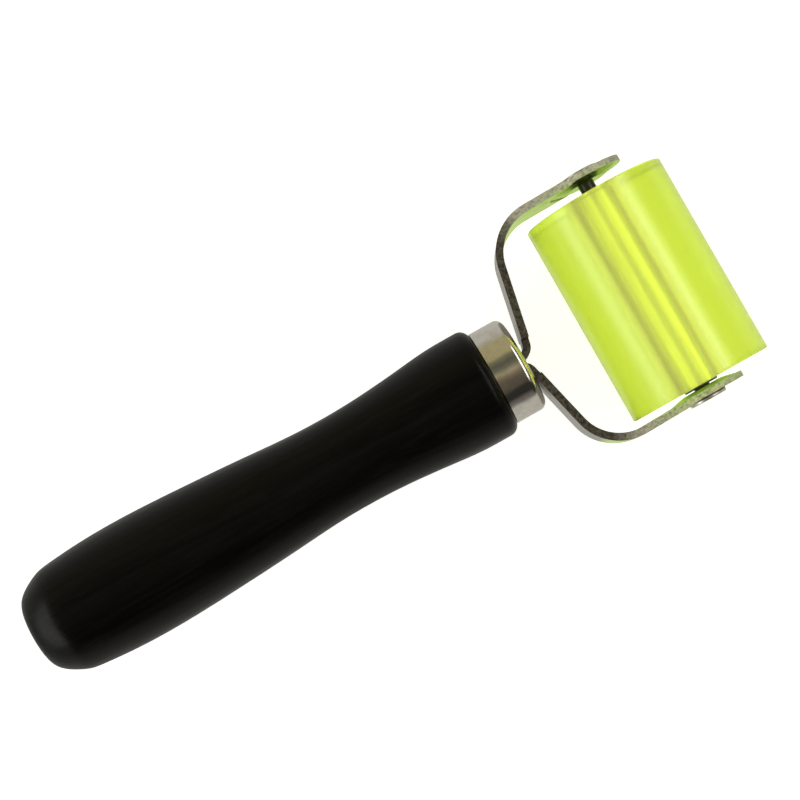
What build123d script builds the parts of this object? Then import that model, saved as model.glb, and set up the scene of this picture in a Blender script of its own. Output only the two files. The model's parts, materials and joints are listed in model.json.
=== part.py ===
"""Hand brayer: a polyurethane roller in a riveted double fork on a turned wooden handle.

Frame: +X runs from the handle to the roller, +Y along the roller's axis, +Z up. The brayer lies
on the plane Z = 0, on its roller and on the thick of its grip, so its own axis is tipped by
rest_tilt. The origin is the bottom centre of the bounding box. Millimetres.

Every piece is drawn in the tool's own frame, the plane called tool: its origin is on the axle,
local x runs along the handle's axis towards the roller, and local y is the axle's direction.
"""

from build123d import *
from math import asin, cos, radians, sin, tan
import os

os.makedirs("parts", exist_ok=True)

# ---- roller ---------------------------------------------------------------------------------
roller_r = 17.5
roller_length = 50.0
roller_edge_r = 0.4
roller_mid_y = 0.4  # the roller has slid along its axle, towards the right-hand eye
sleeve_r = 4.75
sleeve_wall = 0.75
sleeve_inset = 0.2  # the sleeve's ends stop short of the tyre's
bushing_length = 11.0
washer_r = 4.2
washer_t = 0.4
flute_count = 12  # shallow flutes along the core sleeve, which key the tyre to it
flute_r = 0.5
flute_depth = 0.4
flute_phase = 24.0  # degrees
running_gap = 0.06  # radial clearance of bushings and washers on the axle
bond_gap = 0.02  # between pieces that are pressed, cast or riveted together

# ---- axle rivet -----------------------------------------------------------------------------
axle_r = 1.95
rivet_head_r = 4.6
rivet_head_rise = 0.95  # how far a head stands out from the fork's outer face
rivet_head_edge_r = 0.35

# ---- fork -----------------------------------------------------------------------------------
strip_t = 1.8
strip_w = 17.0
root_bend_r = 2.6
arm_bend_r = 11.5
# The two halves are bent by hand, so they differ a little. arm_y and eye_y are the middle of the
# strip after its bend and at the axle. root_x is where the sloping stretch would meet the tang,
# lean is how far that stretch leans forwards from square, and shoulder_y is where its full width
# begins.
left_arm = {"arm_y": 29.8, "eye_y": 30.3, "root_x": -31.0, "lean": 11.4, "shoulder_y": 4.2}
right_arm = {"arm_y": 27.5, "eye_y": 26.83, "root_x": -32.75, "lean": 13.6, "shoulder_y": 4.6}
eye_r = 9.6
eye_t = 1.45  # pressed thinner than the strip
dish_depth = 0.8  # each eye is pressed in towards the roller
dish_top_r = 5.0
dish_base_r = 8.7
dish_crease_r = 0.8

# ---- tangs, back to back inside the handle ----------------------------------------------------
tang_w = 9.0
tang_end_x = -74.0
tang_end_chamfer = 2.5
tang_mid_y = (strip_t + bond_gap) / 2
tang_rivet_r = 1.6
tang_rivet_head_r = 2.8
tang_rivet_head_t = 0.9
tang_rivet_front_x = -46.0
tang_rivet_rear_x = -68.0
barb_count = 5
barb_pitch = 3.0
barb_depth = 0.8
barb_first_x = -51.0

# ---- ferrule --------------------------------------------------------------------------------
ferrule_r = 11.65
ferrule_wall = 0.8
ferrule_front_x = -32.85
ferrule_edge_r = 2.0
slot_y = 9.0
slot_mid_y = -0.4
slot_z = 9.4

# ---- handle ---------------------------------------------------------------------------------
butt_x = -161.3
butt_flat_r = 3.0
grip_x = -133.6
grip_r = 14.1  # the thick of the grip, which touches the table
waist_x = -80.0
waist_r = 11.3
collar_x = -47.6
collar_r = 13.45
collar_end_x = -41.0
spigot_r = ferrule_r - ferrule_wall - bond_gap
spigot_end_x = ferrule_front_x - ferrule_wall - 0.4
spigot_bevel = ferrule_edge_r
collar_edge_r = collar_r - spigot_r
tang_bore_r = 5.1
tang_bore_end_x = -76.0

# ---- the tool's frame -------------------------------------------------------------------------
grip_belly = 0.07  # the grip's lowest point lies behind its thickest and this much deeper
rest_tilt = asin((roller_r - grip_r - grip_belly) / -grip_x)
butt_reach = -butt_x * cos(rest_tilt) + butt_flat_r * sin(rest_tilt)
axle_x = (butt_reach - roller_r) / 2
forwards = Vector(cos(rest_tilt), 0, sin(rest_tilt))
upwards = Vector(-sin(rest_tilt), 0, cos(rest_tilt))
handle_y = (right_arm["eye_y"] - left_arm["eye_y"]) / 2  # the fork is centred on Y = 0
tool = Plane(origin=(axle_x, handle_y, roller_r), x_dir=forwards, z_dir=upwards)
lengthwise = Plane(origin=tool.origin, x_dir=forwards, z_dir=(0, -1, 0))
handle_axis = Axis(tool.origin, forwards)
axle_axis = Axis(tool.origin, (0, 1, 0))


def across(y):
    """The plane square to the axle at local y."""
    return Plane(origin=tool.from_local_coords((0, y, 0)), x_dir=forwards, z_dir=(0, 1, 0))


def station(x):
    """The plane square to the handle's axis at local x."""
    return Plane(origin=tool.from_local_coords((x, 0, 0)), x_dir=(0, 1, 0), z_dir=forwards)


def save(part, name):
    part.label = name
    export_step(part, f"parts/{name}.step")


# ---- handle: turned hardwood, bored for the tangs, with a spigot for the ferrule ---------------
with BuildPart() as handle:
    with BuildSketch(lengthwise):
        with BuildLine():
            butt_face = Line((butt_x, 0), (butt_x, butt_flat_r))
            butt = Spline(
                butt_face @ 1,
                (-160.0, 9.1),
                (-155.4, 12.15),
                (-148.0, 13.52),
                tangents=((0, 1), (1, 0.09)),
            )
            grip = Spline(
                butt @ 1,
                (grip_x, grip_r),
                (-117.0, 13.47),
                (-98.0, 12.22),
                (waist_x, waist_r),
                tangents=(butt % 1, (1, 0)),
            )
            flare = Spline(
                grip @ 1,
                (-69.0, 11.7),
                (-58.0, 12.72),
                (collar_x, collar_r),
                tangents=((1, 0), (1, 0)),
            )
            collar = Line(flare @ 1, (collar_end_x - collar_edge_r, collar_r))
            shoulder = JernArc(start=collar @ 1, tangent=(1, 0), radius=collar_edge_r, arc_size=-90)
            Polyline(
                shoulder @ 1,
                (spigot_end_x - spigot_bevel, spigot_r),
                (spigot_end_x, spigot_r - spigot_bevel),
                (spigot_end_x, 0),
                butt_face @ 0,
            )
        make_face()
    revolve(axis=handle_axis)
    with BuildSketch(station(spigot_end_x)):
        Circle(tang_bore_r)
    extrude(amount=tang_bore_end_x - spigot_end_x, mode=Mode.SUBTRACT)
save(handle.part, "handle")

# ---- ferrule: drawn cup over the spigot, its end slotted for the fork --------------------------
with BuildPart() as ferrule:
    with BuildSketch(station(collar_end_x + bond_gap)):
        Circle(ferrule_r)
    extrude(amount=ferrule_front_x - collar_end_x - bond_gap)
    fillet(ferrule.faces().sort_by(handle_axis)[-1].edges(), ferrule_edge_r)
    offset(amount=-ferrule_wall, openings=ferrule.faces().sort_by(handle_axis)[0])
    with BuildSketch(station(ferrule_front_x)):
        with Locations((slot_mid_y, 0)):
            RectangleRounded(slot_y, slot_z, 1.0)
    extrude(amount=-2 * ferrule_wall, mode=Mode.SUBTRACT)
save(ferrule.part, "ferrule")

# ---- fork: two stamped strips, each with a dished eye on one end and a tang on the other ---------
def fork_half(side, arm_y, eye_y, root_x, lean, shoulder_y):
    """One strip of the fork; side is 1 for the left and -1 for the right."""
    slope = tan(radians(lean))
    root = (root_x, side * tang_mid_y)
    shoulder = (root_x + (shoulder_y - tang_mid_y) * slope, side * shoulder_y)
    corner = (root_x + (arm_y - tang_mid_y) * slope, side * arm_y)
    inner_y = side * (eye_y - eye_t / 2)
    outer_y = side * (eye_y + eye_t / 2)
    dish = side * dish_depth
    with BuildPart() as half:
        # full width, from the shoulder by the ferrule to the eye
        with BuildSketch(tool):
            with BuildLine():
                FilletPolyline(shoulder, corner, (0, side * eye_y), radius=arm_bend_r)
            trace(line_width=strip_t)
        extrude(amount=strip_w / 2, both=True)
        with BuildSketch(across(side * eye_y)):
            Circle(eye_r - 0.3)
        extrude(amount=strip_t, both=True, mode=Mode.SUBTRACT)
        # the eye, turned about the axle: a flat rim round a shallow dish with a flat bottom
        with BuildSketch(tool) as eye_section:
            with BuildLine():
                Polyline(
                    (eye_hole_r, inner_y - dish),
                    (dish_top_r, inner_y - dish),
                    (dish_base_r, inner_y),
                    (eye_r, inner_y),
                    (eye_r, outer_y),
                    (dish_base_r, outer_y),
                    (dish_top_r, outer_y - dish),
                    (eye_hole_r, outer_y - dish),
                    close=True,
                )
            make_face()
            creases = eye_section.vertices().filter_by_position(Axis.X, dish_top_r - 0.1, dish_base_r + 0.1)
            fillet(creases, dish_crease_r)
        revolve(axis=axle_axis)
        # the tang, narrower, with a shoulder where it leaves the ferrule
        with BuildSketch(tool):
            with BuildLine():
                FilletPolyline((tang_end_x, side * tang_mid_y), root, shoulder, radius=root_bend_r)
            trace(line_width=strip_t)
        extrude(amount=tang_w / 2, both=True)
        tang_corners = half.edges().filter_by(Axis.Y).sort_by(handle_axis)[:2]
        chamfer(tang_corners, tang_end_chamfer)
        # barbs along both edges of the tang, which bite in the handle's bore
        with BuildSketch(lengthwise):
            for count in range(barb_count):
                x = barb_first_x - count * barb_pitch
                for edge in (-1, 1):
                    edge_z = edge * tang_w / 2
                    root_z = edge_z - edge * barb_depth
                    Polygon((x, edge_z), (x - barb_pitch, edge_z), (x, root_z), align=None)
        extrude(amount=2 * strip_t, both=True, mode=Mode.SUBTRACT)
        with BuildSketch(across(0)):
            with Locations((tang_rivet_front_x, 0), (tang_rivet_rear_x, 0)):
                Circle(tang_rivet_r + bond_gap)
        extrude(amount=2 * strip_t, both=True, mode=Mode.SUBTRACT)
    return half.part


eye_hole_r = axle_r + bond_gap
save(fork_half(1, **left_arm), "fork_left")
save(fork_half(-1, **right_arm), "fork_right")


# ---- tang rivets ------------------------------------------------------------------------------
def tang_rivet(x):
    """A headed rivet through both tangs at local x."""
    with BuildPart() as rivet:
        with BuildSketch(across(0)):
            with Locations((x, 0)):
                Circle(tang_rivet_r)
        extrude(amount=strip_t + 2 * bond_gap, both=True)
        for side in (-1, 1):
            with BuildSketch(across(side * (strip_t + 2 * bond_gap))):
                with Locations((x, 0)):
                    Circle(tang_rivet_head_r)
            extrude(amount=side * tang_rivet_head_t, taper=20)
    return rivet.part


save(tang_rivet(tang_rivet_front_x), "tang_rivet_front")
save(tang_rivet(tang_rivet_rear_x), "tang_rivet_rear")

# ---- axle: one long rivet, a flat head seated in each eye's dish --------------------------------
with BuildPart() as axle_pin:
    for side, arm in ((1, left_arm), (-1, right_arm)):
        outer_y = arm["eye_y"] + eye_t / 2
        seat_y = outer_y - dish_depth + bond_gap
        head_y = outer_y + rivet_head_rise
        with BuildSketch(across(0)):
            Circle(axle_r)
        extrude(amount=side * seat_y)
        with BuildSketch(across(side * seat_y)):
            Circle(rivet_head_r)
        extrude(amount=side * (head_y - seat_y))
    ends = axle_pin.faces().sort_by(axle_axis)
    fillet(ends[0].edges() + ends[-1].edges(), rivet_head_edge_r)
save(axle_pin.part, "axle_pin")

# ---- roller -----------------------------------------------------------------------------------

def tube(outer_r, inner_r, from_y, to_y):
    """A tube round the axle between two local y values."""
    with BuildPart() as ring:
        with BuildSketch(across(from_y)):
            Circle(outer_r)
            Circle(inner_r, mode=Mode.SUBTRACT)
        extrude(amount=to_y - from_y)
    return ring.part


left_end_y = roller_mid_y + roller_length / 2
right_end_y = roller_mid_y - roller_length / 2

with BuildPart() as roller_tyre:
    with BuildSketch(across(right_end_y)):
        Circle(roller_r)
        Circle(sleeve_r + bond_gap, mode=Mode.SUBTRACT)
    extrude(amount=roller_length)
    rims = roller_tyre.edges().filter_by(GeomType.CIRCLE).group_by(SortBy.RADIUS)[-1]
    fillet(rims, roller_edge_r)
save(roller_tyre.part, "roller_tyre")

sleeve_bore_r = sleeve_r - sleeve_wall
axle_bore_r = axle_r + running_gap

with BuildPart() as core_sleeve:
    with BuildSketch(across(right_end_y + sleeve_inset)):
        Circle(sleeve_r)
        Circle(sleeve_bore_r, mode=Mode.SUBTRACT)
        with PolarLocations(sleeve_r + flute_r - flute_depth, flute_count, start_angle=flute_phase):
            Circle(flute_r, mode=Mode.SUBTRACT)
    extrude(amount=roller_length - 2 * sleeve_inset)
save(core_sleeve.part, "core_sleeve")

for name, end_y, inwards in (("left", left_end_y, -1), ("right", right_end_y, 1)):
    inner_y = end_y + inwards * bushing_length
    save(tube(sleeve_bore_r - bond_gap, axle_bore_r, end_y, inner_y), f"bushing_{name}")
    washer_y = end_y - inwards * bond_gap
    save(tube(washer_r, axle_bore_r, washer_y, washer_y - inwards * washer_t), f"thrust_washer_{name}")
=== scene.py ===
"""Looks for the hand brayer: materials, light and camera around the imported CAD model. Metres."""

import json
import math

import bpy
from mathutils import Euler, Matrix, Vector

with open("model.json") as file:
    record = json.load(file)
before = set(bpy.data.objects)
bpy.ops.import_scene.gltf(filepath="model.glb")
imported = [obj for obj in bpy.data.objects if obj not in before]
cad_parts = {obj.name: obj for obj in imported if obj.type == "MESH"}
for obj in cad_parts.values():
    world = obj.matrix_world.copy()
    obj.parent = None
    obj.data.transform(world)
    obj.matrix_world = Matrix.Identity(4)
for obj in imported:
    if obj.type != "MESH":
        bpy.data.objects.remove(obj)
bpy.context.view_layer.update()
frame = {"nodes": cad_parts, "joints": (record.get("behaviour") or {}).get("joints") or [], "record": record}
nodes = frame["nodes"]

# ---- the tool's own frame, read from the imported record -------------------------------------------
# along runs down the handle's axis towards the roller, across is the axle, above is square to both.
butt_mount = next(m for m in frame["record"]["mounts"] if m["name"] == "butt_face")
along = -Vector(butt_mount["axis"]).normalized()
across = Vector((0, 1, 0))
above = along.cross(across).normalized()
axle = Vector(frame["joints"][0]["pos_m"])
butt = Vector(butt_mount["pos_m"])
axle.y = butt.y
fork_middle = -axle.y  # the middle between the two eyes, across the tool, in metres


def tool_point(x, y, z):
    """A point of the tool's frame, given in millimetres from the axle, in the row's frame."""
    return axle + (along * x + across * y + above * z) / 1000


# ---- small helpers for node trees ----------------------------------------------------------------
class Tree:
    """Builds one node tree. A socket value may be a number, a colour, or another node's output."""

    def __init__(self, tree):
        self.tree = tree

    def add(self, kind, settings=None, **inputs):
        node = self.tree.nodes.new(kind)
        for name, value in (settings or {}).items():
            setattr(node, name, value)
        for name, value in inputs.items():
            self.set(node, name, value)
        return node

    def set(self, node, name, value):
        """Fills an input socket: i0, i1 and so on count the sockets, other names are their own."""
        by_place = name[0] == "i" and name[1:].isdigit()
        socket = node.inputs[int(name[1:])] if by_place else node.inputs[name]
        if isinstance(value, bpy.types.NodeSocket):
            self.tree.links.new(value, socket)
        else:
            socket.default_value = value

    def math(self, operation, a, b=0.0):
        return self.add("ShaderNodeMath", {"operation": operation}, i0=a, i1=b).outputs[0]

    def sum(self, a, b):
        return self.math("ADD", a, b)

    def times(self, a, b):
        return self.math("MULTIPLY", a, b)

    def span(self, a, b):
        """The length of the vector (a, b)."""
        return self.math("SQRT", self.sum(self.math("POWER", a, 2), self.math("POWER", b, 2)))

    def dot(self, vector, direction):
        settings = {"operation": "DOT_PRODUCT"}
        return self.add("ShaderNodeVectorMath", settings, i0=vector, i1=direction).outputs["Value"]

    def join(self, x, y, z):
        return self.add("ShaderNodeCombineXYZ", i0=x, i1=y, i2=z).outputs[0]

    def split(self, vector):
        return self.add("ShaderNodeSeparateXYZ", i0=vector).outputs

    def ramp(self, value, low, high, to_low=0.0, to_high=1.0):
        """A smooth step: to_low where value is under low, to_high where it is over high."""
        node = self.add("ShaderNodeMapRange", {"interpolation_type": "SMOOTHSTEP"})
        limits = {"From Min": low, "From Max": high, "To Min": to_low, "To Max": to_high}
        for name, number in limits.items():
            node.inputs[name].default_value = number
        self.set(node, "Value", value)
        return node.outputs[0]

    def between(self, factor, a, b):
        """The number a where factor is 0, b where it is 1."""
        return self.add("ShaderNodeMix", {"data_type": "FLOAT"}, i0=factor, i2=a, i3=b).outputs[0]

    def mix(self, factor, a, b):
        """The colour a where factor is 0, b where it is 1."""
        node = self.add("ShaderNodeMix", {"data_type": "RGBA"})
        self.set(node, "i0", factor)
        for index, value in ((6, a), (7, b)):
            if isinstance(value, bpy.types.NodeSocket):
                self.tree.links.new(value, node.inputs[index])
            else:
                node.inputs[index].default_value = (*value, 1)
        return node.outputs[2]

    def noise(self, place, scale, detail=2.0, roughness=0.5, distortion=0.0):
        node = self.add("ShaderNodeTexNoise", Scale=scale, Detail=detail, Roughness=roughness)
        node.inputs["Distortion"].default_value = distortion
        self.set(node, "Vector", place)
        return node.outputs["Fac"]

    def tool_space(self, scale=(1, 1, 1), origin=None):
        """A place in the tool's frame, in metres from origin (the axle if None), then scaled."""
        place = self.add("ShaderNodeTexCoord").outputs["Object"]
        start = axle if origin is None else origin
        settings = {"operation": "SUBTRACT"}
        moved = self.add("ShaderNodeVectorMath", settings, i0=place, i1=start).outputs[0]
        return self.join(*(self.dot(moved, d * s) for d, s in zip((along, across, above), scale)))

    def bevel(self, radius):
        """A normal that rounds sharp edges over that radius."""
        return self.add("ShaderNodeBevel", {"samples": 4}, Radius=radius).outputs[0]

    def bump(self, height, distance, strength=1.0, normal=None):
        node = self.add("ShaderNodeBump", Height=height, Distance=distance, Strength=strength)
        if normal is not None:
            self.set(node, "Normal", normal)
        return node.outputs[0]


def material(name, **constants):
    """A new Principled material: its tree, its shader and its output node."""
    made = bpy.data.materials.new(name)
    made.use_nodes = True
    tree = Tree(made.node_tree)
    shader = made.node_tree.nodes["Principled BSDF"]
    for socket, value in constants.items():
        shader.inputs[socket.replace("_", " ")].default_value = value
    return made, tree, shader, made.node_tree.nodes["Material Output"]


# ---- black stained, lacquered hardwood -----------------------------------------------------------
def black_wood():
    made, t, shader, _ = material("black_wood", IOR=1.46, Specular_IOR_Level=0.16)
    fibres = t.tool_space(scale=(14, 420, 420))
    grain = t.noise(fibres, 2.2, detail=6, roughness=0.62, distortion=0.25)
    pores = t.noise(t.tool_space(scale=(90, 2600, 2600)), 1.0, detail=3, roughness=0.7)
    cloud = t.noise(t.tool_space(scale=(30, 60, 60)), 1.0, detail=3)
    shade = t.mix(t.ramp(grain, 0.42, 0.7), (0.0012, 0.0011, 0.0010), (0.0034, 0.0030, 0.0026))
    # the lathe's centre mark and worn lacquer on the butt
    butt_place = t.tool_space(origin=butt)
    reach = t.split(butt_place)
    near = t.ramp(reach[0], 0.0010, 0.0026, 1, 0)
    ragged = t.sum(t.span(reach[1], reach[2]), t.times(t.noise(butt_place, 900, detail=4), 0.0016))
    worn = t.times(near, t.ramp(ragged, 0.0030, 0.0046, 1, 0))
    t.set(shader, "Base Color", t.mix(worn, shade, (0.085, 0.080, 0.058)))
    lacquer = t.sum(t.ramp(grain, 0.3, 0.8, 0.30, 0.42), t.ramp(cloud, 0.3, 0.7, -0.03, 0.05))
    t.set(shader, "Roughness", t.sum(lacquer, t.times(worn, 0.25)))
    height = t.sum(grain, t.times(t.ramp(pores, 0.28, 0.4), 0.35))
    t.set(shader, "Normal", t.bump(height, 0.00008, 0.4))
    return made


# ---- polished nickel -----------------------------------------------------------------------------
def nickel():
    made, t, shader, _ = material("nickel_plate", Metallic=1.0)
    around = t.noise(t.tool_space(scale=(5200, 60, 60)), 1.0, detail=3, roughness=0.65)
    spots = t.noise(t.tool_space(), 420, detail=4, roughness=0.6)
    plate = t.mix(t.ramp(spots, 0.35, 0.75), (0.74, 0.71, 0.65), (0.62, 0.58, 0.50))
    t.set(shader, "Base Color", plate)
    polish = t.sum(t.ramp(around, 0.3, 0.7, 0.06, 0.13), t.ramp(spots, 0.4, 0.8, 0.0, 0.06))
    t.set(shader, "Roughness", polish)
    slow = t.noise(t.tool_space(scale=(160, 90, 90)), 1.0, detail=1)
    wobble = t.bump(slow, 0.0006, 0.5, t.bevel(0.00025))
    t.set(shader, "Normal", t.bump(around, 0.00002, 0.12, wobble))
    return made


# ---- fork steel: bright faces, sheared edges -----------------------------------------------------
def fork_steel():
    made, t, shader, _ = material("fork_steel", Metallic=1.0)
    place = t.split(t.tool_space())
    normal = t.add("ShaderNodeTexCoord").outputs["Normal"]
    up_part = t.dot(normal, above)
    side_part = t.dot(normal, across)
    # the sheared edges face up and down on the arms, and away from the axle round the eyes
    on_arm = t.ramp(t.math("ABSOLUTE", up_part), 0.6, 0.8)
    on_eye = t.ramp(t.math("ABSOLUTE", side_part), 0.25, 0.55, 1, 0)
    in_eye = t.ramp(place[0], -0.0105, -0.0085)
    edge = t.between(in_eye, on_arm, on_eye)
    mottle = t.noise(t.tool_space(), 1400, detail=4, roughness=0.65)
    blotch = t.noise(t.tool_space(), 260, detail=3, roughness=0.6)
    dark_edge = t.mix(t.ramp(mottle, 0.35, 0.65), (0.045, 0.040, 0.030), (0.15, 0.135, 0.105))
    pale_edge = t.mix(t.ramp(mottle, 0.3, 0.6), (0.30, 0.28, 0.22), (0.66, 0.64, 0.54))
    # the sheared edges are coloured dark towards the handle and pale towards the roller
    edge_reach = t.sum(place[0], t.times(blotch, 0.006))
    sheared = t.mix(t.ramp(edge_reach, -0.0225, -0.0135), dark_edge, pale_edge)
    bright_face = t.mix(t.ramp(blotch, 0.3, 0.7), (0.60, 0.59, 0.56), (0.49, 0.48, 0.44))
    dull_face = t.mix(t.ramp(blotch, 0.3, 0.7), (0.42, 0.41, 0.38), (0.33, 0.32, 0.29))
    outer_face = t.mix(t.ramp(place[0], -0.026, -0.016), dull_face, bright_face)
    # painted shade: the faces turned to the roller are coloured darker, for the shade in the gap between
    # fork and roller
    facing_out = t.times(side_part, t.math("SIGN", place[1]))
    roller_side_shade = t.ramp(facing_out, -0.5, -0.15, 1, 0)
    face = t.mix(roller_side_shade, outer_face, (0.15, 0.15, 0.13))
    t.set(shader, "Base Color", t.mix(edge, face, sheared))
    lines = t.noise(t.tool_space(scale=(60, 60, 3800)), 1.0, detail=3, roughness=0.6)
    smooth = t.sum(t.ramp(lines, 0.3, 0.7, 0.24, 0.31), t.ramp(blotch, 0.45, 0.75, 0.0, 0.08))
    torn = t.ramp(mottle, 0.3, 0.7, 0.38, 0.60)
    t.set(shader, "Roughness", t.between(edge, smooth, torn))
    tear = t.noise(t.tool_space(scale=(1.0, 1.0, 0.35)), 2600, detail=4, roughness=0.7)
    relief = t.sum(t.times(edge, 0.9), 0.04)
    height = t.times(t.sum(mottle, tear), relief)
    t.set(shader, "Normal", t.bump(height, 0.00025, 0.7, t.bevel(0.0002)))
    return made


def turned_steel(name):
    """A steel material, with the place in the tool's frame and the distance from the axle."""
    made, t, shader, _ = material(name, Metallic=1.0)
    place = t.split(t.tool_space())
    return made, t, shader, place, t.span(place[0], place[2])


# ---- rivet steel: turned heads, a shank darkened with painted shade ------------------------------
def rivet_steel():
    made, t, shader, place, radius = turned_steel("rivet_steel")
    specks = t.noise(t.tool_space(), 1100, detail=4, roughness=0.65)
    rings = t.noise(t.join(radius, place[1], 0.0), 5200, detail=3)
    bright = t.mix(t.ramp(specks, 0.45, 0.75), (0.74, 0.72, 0.65), (0.42, 0.40, 0.34))
    # painted shade: the shank between the eyes is coloured dark and dull, and so is the joint round each
    # head, where shade falls
    from_middle = t.math("ABSOLUTE", t.math("SUBTRACT", place[1], fork_middle))
    shank_shade = t.ramp(from_middle, 0.02952, 0.02968, 1, 0)
    t.set(shader, "Base Color", t.mix(shank_shade, bright, (0.06, 0.056, 0.045)))
    finish = t.sum(t.ramp(rings, 0.3, 0.7, 0.30, 0.40), t.ramp(specks, 0.5, 0.8, 0.0, 0.12))
    t.set(shader, "Roughness", finish)
    height = t.sum(rings, t.times(specks, 0.3))
    t.set(shader, "Normal", t.bump(height, 0.00004, 0.5, t.bevel(0.00015)))
    return made


# ---- core sleeve: drawn tube, flutes darkened with painted shade ---------------------------------
def core_steel():
    made, t, shader, _, radius = turned_steel("core_steel")
    streaks = t.noise(t.tool_space(scale=(1, 0.012, 1)), 1500, detail=3, roughness=0.6)
    drawn = t.mix(t.ramp(streaks, 0.36, 0.62), (0.70, 0.69, 0.62), (0.93, 0.92, 0.87))
    # painted shade: the flute bottoms are coloured a darker yellow-grey, for the shade in the grooves
    flute_shade = t.ramp(radius, 0.00452, 0.00471, 1, 0)  # 1 at a flute's bottom, 0 on the tube's outside
    t.set(shader, "Base Color", t.mix(flute_shade, drawn, (0.54, 0.57, 0.34)))
    t.set(shader, "Roughness", t.sum(t.ramp(streaks, 0.3, 0.7, 0.38, 0.28), t.times(flute_shade, 0.15)))
    t.set(shader, "Normal", t.bump(streaks, 0.00006, 0.6))
    return made


# ---- roller --------------------------------------------------------------------------------------
def lime_urethane():
    made, t, shader, output = material("lime_urethane", IOR=1.49, Transmission_Weight=0.85)
    shader.inputs["Base Color"].default_value = (0.76, 0.85, 0.20, 1)
    scuffs = t.noise(t.tool_space(scale=(40, 1800, 40)), 1.0, detail=3, roughness=0.6)
    cloud = t.noise(t.tool_space(), 110, detail=2)
    frost = t.sum(t.ramp(scuffs, 0.3, 0.7, 0.18, 0.22), t.ramp(cloud, 0.3, 0.7, -0.01, 0.02))
    t.set(shader, "Roughness", frost)
    volume = t.add("ShaderNodeVolumeAbsorption", Density=60.0)
    volume.inputs["Color"].default_value = (0.74, 0.82, 0.03, 1)
    t.set(output, "Volume", volume.outputs[0])
    return made


def nylon():
    made, t, shader, _ = material("nylon", IOR=1.53, Subsurface_Weight=0.3, Subsurface_Scale=0.002)
    place = t.tool_space()
    cloud = t.noise(place, 500, detail=4)
    t.set(shader, "Base Color", t.mix(cloud, (0.80, 0.79, 0.72), (0.68, 0.66, 0.58)))
    t.set(shader, "Roughness", t.ramp(cloud, 0.3, 0.7, 0.42, 0.55))
    t.set(shader, "Normal", t.bump(t.noise(place, 2400, detail=3), 0.00003, 0.4))
    return made


def give(made, *names):
    """Puts the material on those nodes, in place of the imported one."""
    for name in names:
        slots = nodes[name].data.materials
        slots.clear()
        slots.append(made)


give(black_wood(), "handle")
give(nickel(), "ferrule")
give(fork_steel(), "fork_left", "fork_right")
give(
    rivet_steel(),
    "axle_pin",
    "tang_rivet_front",
    "tang_rivet_rear",
    "thrust_washer_left",
    "thrust_washer_right",
)
give(core_steel(), "core_sleeve")
give(lime_urethane(), "roller_tyre")
give(nylon(), "bushing_left", "bushing_right")

# ---- floor ---------------------------------------------------------------------------------------
floor_half = 4.0
floor_drop = 0.0002  # keeps the floor just clear of the roller and the grip
floor_mesh = bpy.data.meshes.new("floor")
corners = [(x * floor_half, y * floor_half, 0) for x, y in ((-1, -1), (1, -1), (1, 1), (-1, 1))]
floor_mesh.from_pydata(corners, [], [(0, 1, 2, 3)])
floor = bpy.data.objects.new("floor", floor_mesh)
bpy.context.scene.collection.objects.link(floor)
paper, _, shader, _ = material("white_paper", Roughness=0.7)
shader.inputs["Base Color"].default_value = (0.86, 0.86, 0.86, 1)
shader.inputs["Emission Color"].default_value = (1, 1, 1, 1)
shader.inputs["Emission Strength"].default_value = 0.8
floor_mesh.materials.append(paper)
floor.location.z = -floor_drop
floor.visible_glossy = False  # metal mirrors the pale grey of the surround's lower half instead

# ---- studio surround -----------------------------------------------------------------------------
# Overhead it is dim, with soft panels side by side from the tool's right (-1) to its left (+1).
panels = (
    (-1.00, (0.20, 0.19, 0.17)),
    (-0.93, (0.030, 0.030, 0.028)),
    (-0.78, (0.035, 0.034, 0.032)),
    (-0.68, (0.10, 0.088, 0.068)),
    (-0.38, (0.13, 0.112, 0.085)),
    (-0.22, (0.22, 0.175, 0.115)),
    (-0.06, (0.40, 0.35, 0.24)),
    (0.12, (0.17, 0.165, 0.115)),
    (0.32, (0.11, 0.112, 0.088)),
    (0.52, (0.20, 0.19, 0.115)),
    (0.62, (0.42, 0.385, 0.21)),
    (0.96, (0.43, 0.39, 0.23)),
    (1.00, (0.50, 0.49, 0.42)),
)
lower_half = (0.56, 0.55, 0.51)
world = bpy.data.worlds.new("studio")
bpy.context.scene.world = world
world.use_nodes = True
w = Tree(world.node_tree)
background = world.node_tree.nodes["Background"]
direction = w.add("ShaderNodeTexCoord").outputs["Generated"]
sideways = w.dot(direction, across)
panel_ramp = w.add("ShaderNodeValToRGB", i0=w.sum(w.times(sideways, 0.5), 0.5))
stops = panel_ramp.color_ramp.elements
stops.remove(stops[0])
stops[0].position = 0
stops[0].color = (*panels[0][1], 1)
for place, colour in panels[1:]:
    stops.new((place + 1) / 2).color = (*colour, 1)
# Two long soft strips lie square to the handle: one ahead of the roller, one behind the handle.
elevation = w.math("ARCTAN2", w.dot(direction, above), w.dot(direction, along))
within = w.ramp(w.math("ABSOLUTE", sideways), 0.45, 0.75, 1.0, 0.0)


def strip_light(centre, spread, radiance):
    """A soft strip at that elevation from straight ahead, in degrees, fading over spread."""
    off = w.math("SUBTRACT", elevation, math.radians(centre))
    off = w.math("DIVIDE", off, math.radians(spread))
    fade = w.math("EXPONENT", w.times(w.math("POWER", off, 2), -1))
    return w.times(w.times(fade, within), radiance)


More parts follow.
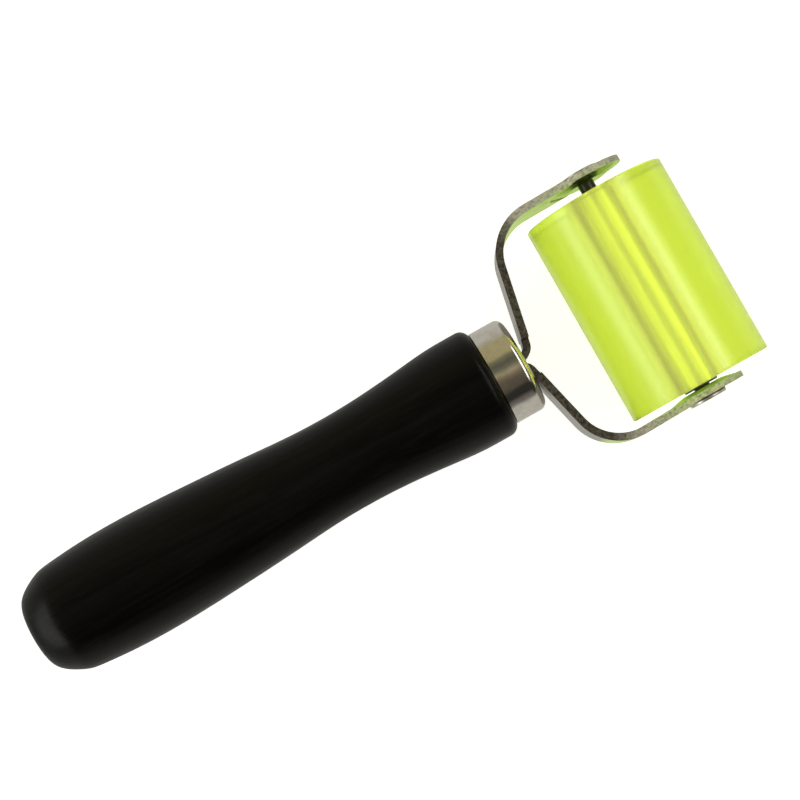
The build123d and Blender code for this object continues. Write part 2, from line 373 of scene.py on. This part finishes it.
strip_ahead = strip_light(centre=48.5, spread=6.5, radiance=4.2)
strip_behind = strip_light(centre=156, spread=12, radiance=3.6)
strips = w.sum(strip_ahead, strip_behind)
below = w.ramp(w.split(direction)[2], -0.10, 0.12, 1.0, 0.0)
sky = w.mix(below, panel_ramp.outputs[0], lower_half)
white_strips = w.join(strips, strips, strips)
lit = w.add("ShaderNodeVectorMath", {"operation": "ADD"}, i0=sky, i1=white_strips)
w.set(background, "Color", lit.outputs[0])
background.inputs["Strength"].default_value = 1.0

# ---- lamps ---------------------------------------------------------------------------------------
straight_up = 90  # degrees of elevation
straight_down = -90


def lamp_object(name, shape, power, colour):
    """An area lamp, which shines along its own -Z."""
    data = bpy.data.lights.new(name, "AREA")
    data.shape = shape
    data.energy = power
    data.color = colour
    lamp = bpy.data.objects.new(name, data)
    bpy.context.scene.collection.objects.link(lamp)
    return lamp


def softbox(name, elevation, distance, width, length, power, colour):
    """A rectangular lamp seen from the axle at that elevation over +X, in degrees, facing it."""
    lamp = lamp_object(name, "RECTANGLE", power, colour)
    lamp.data.size = width
    lamp.data.size_y = length
    height = math.radians(elevation)
    towards = Vector((math.cos(height), 0, math.sin(height)))
    lamp.location = axle + towards * distance
    lamp.rotation_euler = towards.to_track_quat("Z", "Y").to_euler()
    return lamp


def shine_only_on(lamp, *targets):
    """Limits a lamp to those nodes."""
    receivers = bpy.data.collections.new(f"{lamp.name}_receivers")
    for target in targets:
        receivers.objects.link(nodes[target])
    lamp.light_linking.receiver_collection = receivers


# A wide overhead panel lights the clear roller from above, down to its core.
overhead_panel = softbox(
    "overhead_panel",
    elevation=straight_up,
    distance=0.85,
    width=2.4,
    length=2.4,
    power=42.0,
    colour=(1.0, 0.92, 0.50),
)
shine_only_on(overhead_panel, "roller_tyre")

# The clear roller also mirrors the bright table close round it. This lamp and the lime pool lie
# just over the table, which is 17.5 mm under the axle.
table_sheen = softbox(
    "table_sheen",
    elevation=straight_down,
    distance=0.0174,
    width=0.5,
    length=0.5,
    power=0.36,
    colour=(0.80, 0.95, 0.22),
)
table_sheen.visible_camera = False
table_sheen.visible_transmission = False
shine_only_on(table_sheen, "roller_tyre")

# The light that the clear roller throws about it is a caustic, which the renderer leaves out. A
# lime pool on the table and a lime disc on each end of the roller throw it on the fork instead.
limed_steel = ("fork_left", "fork_right", "axle_pin")
lime_pool = softbox(
    "lime_pool",
    elevation=straight_down,
    distance=0.0173,
    width=0.048,
    length=0.062,
    power=0.0080,
    colour=(0.66, 1.0, 0.02),
)
lime_pool.rotation_euler = (math.pi, 0, 0)  # it faces up, with its length across the tool
lime_pool.location.x -= 0.002
lime_pool.visible_camera = False
shine_only_on(lime_pool, *limed_steel)

glow_size = 0.034  # nearly the roller's diameter
# end_y is just off the roller's end, in millimetres across the tool
for name, end_y, outwards in (("left", 25.43, across), ("right", -24.63, -across)):
    glow = lamp_object(f"roller_glow_{name}", "DISK", power=0.0026, colour=(0.48, 0.86, 0.08))
    glow.data.size = glow_size
    glow.location = tool_point(0, end_y, 0)
    glow.rotation_euler = (-outwards).to_track_quat("Z", "Y").to_euler()
    glow.visible_camera = False
    shine_only_on(glow, *limed_steel)

# ---- camera --------------------------------------------------------------------------------------
# It looks almost straight down on the tool, with the handle running to the lower left.
camera_tilt = (3.310, 1.445, -29.324)  # degrees about the tool's along, across and above
camera_place = tool_point(-65.1, -24.7, 493.5)
camera_data = bpy.data.cameras.new("camera")
camera_data.sensor_width = 36
camera_data.lens = 96.5
camera_data.clip_start = 0.01
camera = bpy.data.objects.new("camera", camera_data)
bpy.context.scene.collection.objects.link(camera)
tool_to_row = Matrix((along, across, above)).transposed()
turn = tool_to_row @ Euler([math.radians(angle) for angle in camera_tilt], "XYZ").to_matrix()
camera.matrix_world = Matrix.Translation(camera_place) @ turn.to_4x4()
bpy.context.scene.camera = camera
bpy.context.scene.view_settings.view_transform = "Standard"
